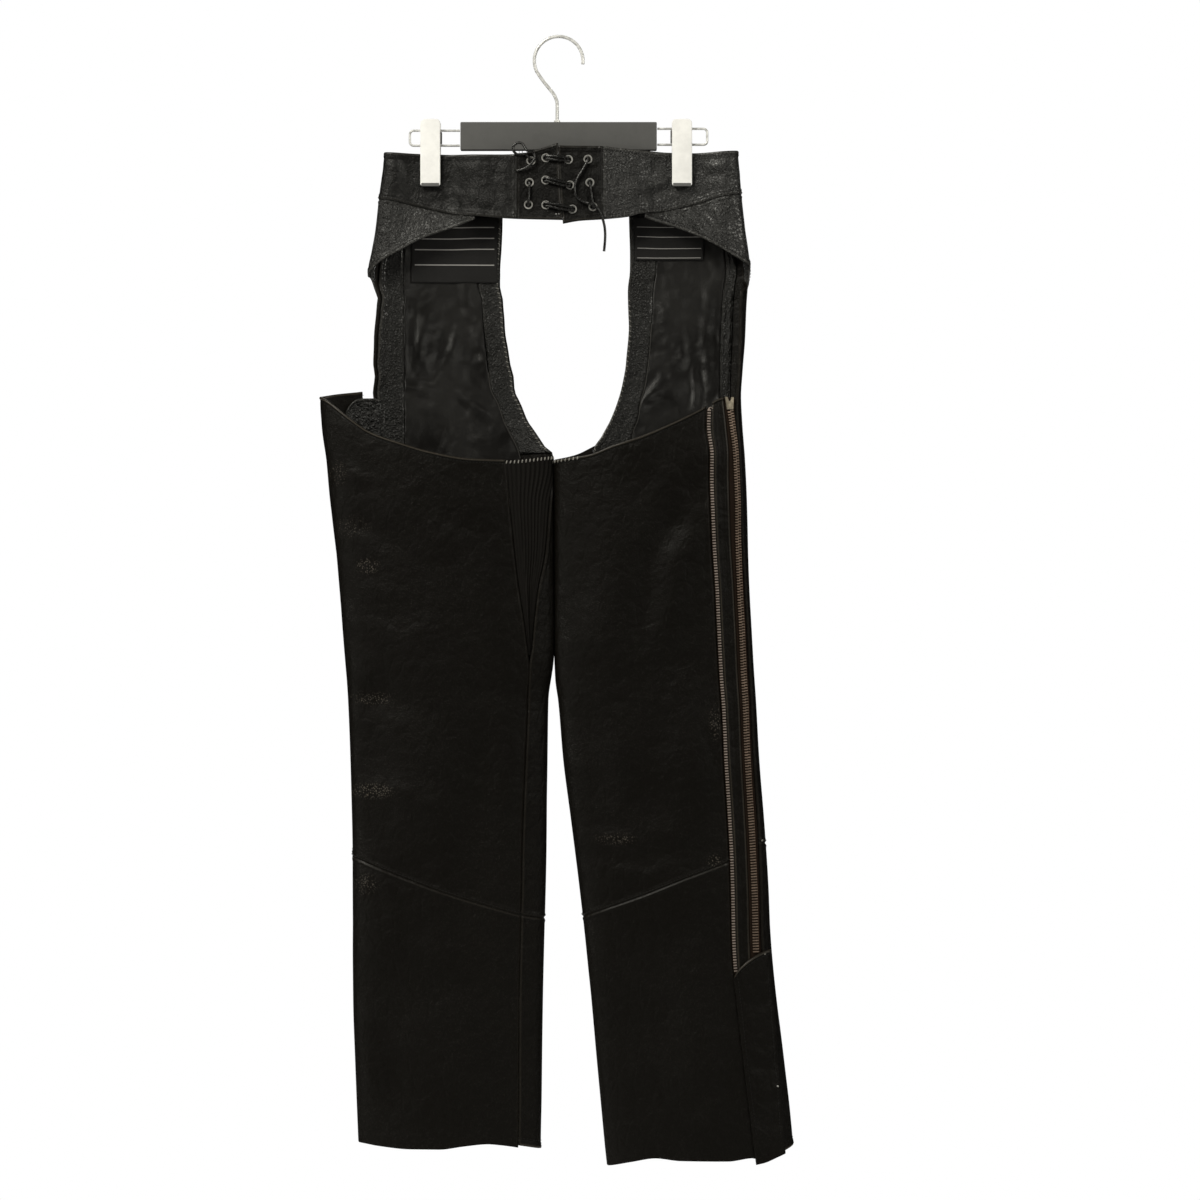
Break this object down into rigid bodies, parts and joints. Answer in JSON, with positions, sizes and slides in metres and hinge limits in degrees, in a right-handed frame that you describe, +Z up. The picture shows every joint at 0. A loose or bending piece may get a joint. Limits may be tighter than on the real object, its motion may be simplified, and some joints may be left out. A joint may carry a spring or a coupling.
{
  "type": "leather chaps on a clip hanger",
  "caption": "Black leather chaps with a laced back belt, open seat, outer side zips and ribbed stretch gussets, hung by the belt from a clip hanger.",
  "frame": {"origin": "inner top of the hanger hook, where it rests on a rail", "axes": "+Z up; +X to the right of someone who looks at the back of the chaps; the back faces -Y and the front +Y"},
  "size_m": [0.4963, 0.0642, 1.1893],
  "materials": {
    "leather_grain": "satin",
    "leather_smooth": "satin",
    "stretch_rib": "matte",
    "lining_satin": "satin",
    "label_woven": "matte",
    "zip_tape": "matte",
    "zip_bronze": "satin",
    "slider_metal": "satin",
    "eyelet_steel": "satin",
    "lace_black": "satin",
    "hanger_bar_grey": "satin",
    "hanger_chrome": "gloss",
    "clip_cream": "satin"
  },
  "bodies": {
    "root": {"belt_back_left": "leather_grain", "belt_back_right": "leather_grain", "belt_front_left": "leather_grain", "belt_front_right": "leather_grain", "belt_closing_tab": "leather_grain", "lacing_tab_left": "leather_grain", "lacing_tab_right": "leather_grain", "yoke_left": "leather_grain", "yoke_right": "leather_grain", "facing_left_outer": "leather_grain", "facing_left_inner": "leather_grain", "facing_right_inner": "leather_grain", "facing_right_outer": "leather_grain", "zip_guard_left": "leather_grain", "front_thigh_left": "leather_smooth", "front_thigh_right": "leather_smooth", "front_calf_left": "leather_smooth", "front_calf_right": "leather_smooth", "back_thigh_left": "leather_smooth", "back_thigh_right": "leather_smooth", "back_calf_left": "leather_smooth", "back_calf_right": "leather_smooth", "zip_strip_right": "leather_smooth", "hem_flap_left": "leather_smooth", "hem_flap_right": "leather_smooth", "gusset_left": "stretch_rib", "gusset_right": "stretch_rib", "lining_left": "lining_satin", "lining_right": "lining_satin", "label_left": "label_woven", "label_right": "label_woven", "zip_tape_left": "zip_tape", "zip_tape_right": "zip_tape", "spare_zip_right": "zip_tape", "zip_chain_left": "zip_bronze", "zip_chain_right": "zip_bronze", "slider_left": "slider_metal", "slider_right": "slider_metal", "belt_snap": "slider_metal", "eyelet_left_1": "eyelet_steel", "eyelet_left_2": "eyelet_steel", "eyelet_left_3": "eyelet_steel", "eyelet_left_4": "eyelet_steel", "eyelet_left_5": "eyelet_steel", "eyelet_left_6": "eyelet_steel", "eyelet_right_1": "eyelet_steel", "eyelet_right_2": "eyelet_steel", "eyelet_right_3": "eyelet_steel", "eyelet_right_4": "eyelet_steel", "eyelet_right_5": "eyelet_steel", "eyelet_right_6": "eyelet_steel", "lace_through": "lace_black", "lace_tail": "lace_black", "lace_knot": "lace_black", "hanger_hook": "hanger_chrome", "wire_loop_left": "hanger_chrome", "wire_loop_right": "hanger_chrome", "hanger_bar": "hanger_bar_grey", "clip_left": "clip_cream", "clip_right": "clip_cream"}
  },
  "joints": []
}
